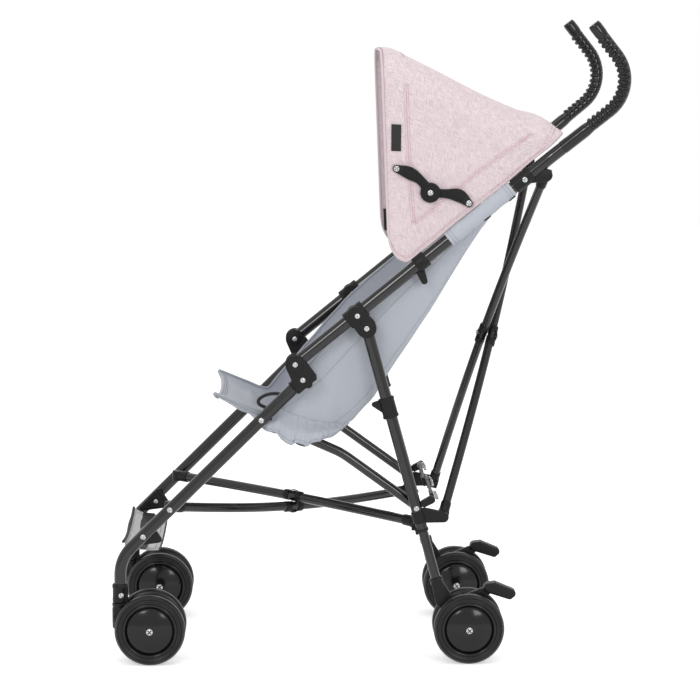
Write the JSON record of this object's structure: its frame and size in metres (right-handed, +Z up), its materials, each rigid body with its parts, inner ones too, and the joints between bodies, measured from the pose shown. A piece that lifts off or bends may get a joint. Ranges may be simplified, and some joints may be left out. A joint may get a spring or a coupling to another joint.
{
  "type": "lightweight stroller",
  "caption": "Folding tube-frame stroller with curved handles, sling seat, canopy hood, crossed braces and twin swivel wheels.",
  "frame": {"origin": "on the ground, at the middle of the overall box", "axes": "+Z up, -X forward, -Y the stroller's left side"},
  "size_m": [0.8549, 0.442, 1.0537],
  "materials": {
    "frame_black": "satin black lacquer",
    "moulded_black": "fine-grained moulding",
    "grip_rubber": "matt, bumped",
    "tyre_and_hub": "gloss hub, satin tyre",
    "zinc_rivet": "zinc plated",
    "seat_cloth": "plain weave, pale blue grey",
    "hood_cloth": "melange weave, pale pink",
    "foot_strap": "grey webbing with a dark edge"
  },
  "bodies": {
    "left_side": {"left_handle_tube": "frame_black", "left_grip": "grip_rubber", "left_mid_bracket": "moulded_black", "left_upper_bracket": "moulded_black", "left_hood_clip": "moulded_black", "left_hood_stay": "moulded_black", "seat_sling": "seat_cloth", "hood_canopy": "hood_cloth"},
    "left_front_leg": {"left_front_leg": "frame_black", "left_lower_bracket": "moulded_black", "left_caster_socket": "moulded_black", "left_foot_bracket": "moulded_black", "foot_strap": "foot_strap"},
    "left_caster": {"left_caster": "moulded_black"},
    "left_rear_leg": {"left_rear_leg": "frame_black", "left_rear_lower_leg": "frame_black", "left_rear_joint": "moulded_black", "left_leg_sleeve": "moulded_black", "left_rear_housing": "moulded_black"},
    "left_strut": {"left_side_strut": "frame_black"},
    "left_spreader": {"left_spreader_link": "moulded_black"},
    "left_yoke": {"left_brace_yoke": "moulded_black"},
    "left_pedal": {"left_brake_pedal": "moulded_black"},
    "left_front_outer": {"left_front_wheel_outer": "tyre_and_hub"},
    "left_front_inner": {"left_front_wheel_inner": "tyre_and_hub"},
    "left_rear_outer": {"left_rear_wheel_outer": "tyre_and_hub"},
    "left_rear_inner": {"left_rear_wheel_inner": "tyre_and_hub"},
    "right_side": {"right_handle_tube": "frame_black", "right_grip": "grip_rubber", "right_mid_bracket": "moulded_black", "right_upper_bracket": "moulded_black", "right_hood_clip": "moulded_black", "right_hood_stay": "moulded_black"},
    "right_front_leg": {"right_front_leg": "frame_black", "right_lower_bracket": "moulded_black", "right_caster_socket": "moulded_black", "right_foot_bracket": "moulded_black"},
    "right_caster": {"right_caster": "moulded_black"},
    "right_rear_leg": {"right_rear_leg": "frame_black", "right_rear_lower_leg": "frame_black", "right_rear_joint": "moulded_black", "right_leg_sleeve": "moulded_black", "right_rear_housing": "moulded_black"},
    "right_strut": {"right_side_strut": "frame_black"},
    "right_spreader": {"right_spreader_link": "moulded_black"},
    "right_yoke": {"right_brace_yoke": "moulded_black"},
    "right_pedal": {"right_brake_pedal": "moulded_black"},
    "right_front_outer": {"right_front_wheel_outer": "tyre_and_hub"},
    "right_front_inner": {"right_front_wheel_inner": "tyre_and_hub"},
    "right_rear_outer": {"right_rear_wheel_outer": "tyre_and_hub"},
    "right_rear_inner": {"right_rear_wheel_inner": "tyre_and_hub"},
    "bottom_cross_a": {"bottom_cross_tube_a": "frame_black", "bottom_cross_pivot": "zinc_rivet"},
    "bottom_cross_b": {"bottom_cross_tube_b": "frame_black"},
    "rear_cross_a": {"rear_cross_tube_a": "frame_black", "rear_cross_pivot": "zinc_rivet"},
    "rear_cross_b": {"rear_cross_tube_b": "frame_black"}
  },
  "joints": [
    {"name": "fold", "type": "hinge", "parent": "left_side", "child": "left_rear_leg", "pos_m": [-0.0065, -0.18, 0.5562], "axis": [0, 1, 0], "range_deg": [0, 24.45], "deforming": ["seat_sling", "hood_canopy", "foot_strap"]},
    {"name": "left_yoke_tilt", "type": "hinge", "parent": "left_rear_leg", "child": "left_yoke", "pos_m": [0.077, -0.156, 0.228], "axis": [0, 1, 0], "range_deg": [0, 9.96]},
    {"name": "bottom_cross_end", "type": "hinge", "parent": "left_yoke", "child": "bottom_cross_a", "pos_m": [0.077, -0.156, 0.228], "axis": [0.0673, 0, 0.9977], "range_deg": [0, 27.08]},
    {"name": "bottom_cross_scissor", "type": "hinge", "parent": "bottom_cross_a", "child": "bottom_cross_b", "pos_m": [-0.1268, 0, 0.24175], "axis": [0.0673, 0, 0.9977], "range_deg": [-54.14, 0]},
    {"name": "right_yoke_turn", "type": "hinge", "parent": "bottom_cross_b", "child": "right_yoke", "pos_m": [0.077, 0.156, 0.228], "axis": [0.0673, 0, 0.9977], "range_deg": [0, 27.08]},
    {"name": "right_yoke_tilt", "type": "hinge", "parent": "right_yoke", "child": "right_rear_leg", "pos_m": [0.077, 0.156, 0.228], "axis": [0, 1, 0], "range_deg": [-9.96, 0]},
    {"name": "right_rear_leg_fold", "type": "hinge", "parent": "right_rear_leg", "child": "right_side", "pos_m": [-0.0065, 0.18, 0.5562], "axis": [0, 1, 0], "range_deg": [-24.48, 0]},
    {"name": "left_front_leg_fold", "type": "hinge", "parent": "left_side", "child": "left_front_leg", "pos_m": [-0.1235, -0.18, 0.497], "axis": [0, 1, 0], "range_deg": [0, 53.22]},
    {"name": "left_strut_fold", "type": "hinge", "parent": "left_rear_leg", "child": "left_strut", "pos_m": [0.0762, -0.1617, 0.2563], "axis": [0, 1, 0], "range_deg": [-1.1, 0]},
    {"name": "left_spreader_fold", "type": "hinge", "parent": "left_rear_leg", "child": "left_spreader", "pos_m": [0.1005, -0.1662, 0.27], "axis": [0.9641, 0, 0.2656], "range_deg": [0, 70.26]},
    {"name": "left_caster_swivel", "type": "hinge", "parent": "left_front_leg", "child": "left_caster", "pos_m": [-0.4137, -0.18, 0.05827], "axis": [0, 0, 1], "continuous": true},
    {"name": "left_front_outer_spin", "type": "hinge", "parent": "left_caster", "child": "left_front_outer", "pos_m": [-0.364, -0.207, 0.05827], "axis": [0, 1, 0], "continuous": true},
    {"name": "left_front_inner_spin", "type": "hinge", "parent": "left_caster", "child": "left_front_inner", "pos_m": [-0.364, -0.153, 0.05827], "axis": [0, 1, 0], "continuous": true},
    {"name": "left_rear_outer_spin", "type": "hinge", "parent": "left_rear_leg", "child": "left_rear_outer", "pos_m": [0.1625, -0.207, 0.05827], "axis": [0, 1, 0], "continuous": true},
    {"name": "left_rear_inner_spin", "type": "hinge", "parent": "left_rear_leg", "child": "left_rear_inner", "pos_m": [0.1625, -0.153, 0.05827], "axis": [0, 1, 0], "continuous": true},
    {"name": "left_pedal_press", "type": "hinge", "parent": "left_rear_leg", "child": "left_pedal", "pos_m": [0.15, -0.18, 0.101], "axis": [0, 1, 0], "range_deg": [0, 10]},
    {"name": "right_front_leg_fold", "type": "hinge", "parent": "right_side", "child": "right_front_leg", "pos_m": [-0.1235, 0.18, 0.497], "axis": [0, 1, 0], "range_deg": [0, 53.22]},
    {"name": "right_strut_fold", "type": "hinge", "parent": "right_rear_leg", "child": "right_strut", "pos_m": [0.0762, 0.1617, 0.2563], "axis": [0, 1, 0], "range_deg": [-1.1, 0]},
    {"name": "right_spreader_fold", "type": "hinge", "parent": "right_rear_leg", "child": "right_spreader", "pos_m": [0.1005, 0.1662, 0.27], "axis": [0.9641, 0, 0.2656], "range_deg": [-70.26, 0]},
    {"name": "right_caster_swivel", "type": "hinge", "parent": "right_front_leg", "child": "right_caster", "pos_m": [-0.4137, 0.18, 0.05827], "axis": [0, 0, 1], "continuous": true},
    {"name": "right_front_outer_spin", "type": "hinge", "parent": "right_caster", "child": "right_front_outer", "pos_m": [-0.364, 0.207, 0.05827], "axis": [0, 1, 0], "continuous": true},
    {"name": "right_front_inner_spin", "type": "hinge", "parent": "right_caster", "child": "right_front_inner", "pos_m": [-0.364, 0.153, 0.05827], "axis": [0, 1, 0], "continuous": true},
    {"name": "right_rear_outer_spin", "type": "hinge", "parent": "right_rear_leg", "child": "right_rear_outer", "pos_m": [0.1625, 0.207, 0.05827], "axis": [0, 1, 0], "continuous": true},
    {"name": "right_rear_inner_spin", "type": "hinge", "parent": "right_rear_leg", "child": "right_rear_inner", "pos_m": [0.1625, 0.153, 0.05827], "axis": [0, 1, 0], "continuous": true},
    {"name": "right_pedal_press", "type": "hinge", "parent": "right_rear_leg", "child": "right_pedal", "pos_m": [0.15, 0.18, 0.101], "axis": [0, 1, 0], "range_deg": [0, 10]},
    {"name": "rear_cross_end", "type": "hinge", "parent": "left_side", "child": "rear_cross_a", "pos_m": [0.2865, -0.1634, 0.8058], "axis": [-0.8104, 0.4865, 0.3265], "range_deg": [0, 22.85]},
    {"name": "rear_cross_scissor", "type": "hinge", "parent": "rear_cross_a", "child": "rear_cross_b", "pos_m": [0.20375, 0, 0.5234], "axis": [-0.9596, 0, 0.2812], "range_deg": [-39.85, 0]}
  ],
  "couplings": [
    {"joint": "left_yoke_tilt", "follows": "fold", "ratio": 0.40633},
    {"joint": "bottom_cross_end", "follows": "fold", "ratio": 1.1065},
    {"joint": "bottom_cross_scissor", "follows": "fold", "ratio": -2.213},
    {"joint": "right_yoke_turn", "follows": "fold", "ratio": 1.1065},
    {"joint": "right_yoke_tilt", "follows": "fold", "ratio": -0.40633},
    {"joint": "right_rear_leg_fold", "follows": "fold", "ratio": -1},
    {"joint": "left_front_leg_fold", "follows": "fold", "ratio": 2.1755},
    {"joint": "left_strut_fold", "follows": "fold", "ratio": -0.04424},
    {"joint": "left_spreader_fold", "follows": "fold", "ratio": 2.872},
    {"joint": "right_front_leg_fold", "follows": "fold", "ratio": 2.1755},
    {"joint": "right_strut_fold", "follows": "fold", "ratio": -0.04424},
    {"joint": "right_spreader_fold", "follows": "fold", "ratio": -2.872},
    {"joint": "rear_cross_end", "follows": "fold", "ratio": 0.93346},
    {"joint": "rear_cross_scissor", "follows": "fold", "ratio": -1.6286}
  ]
}
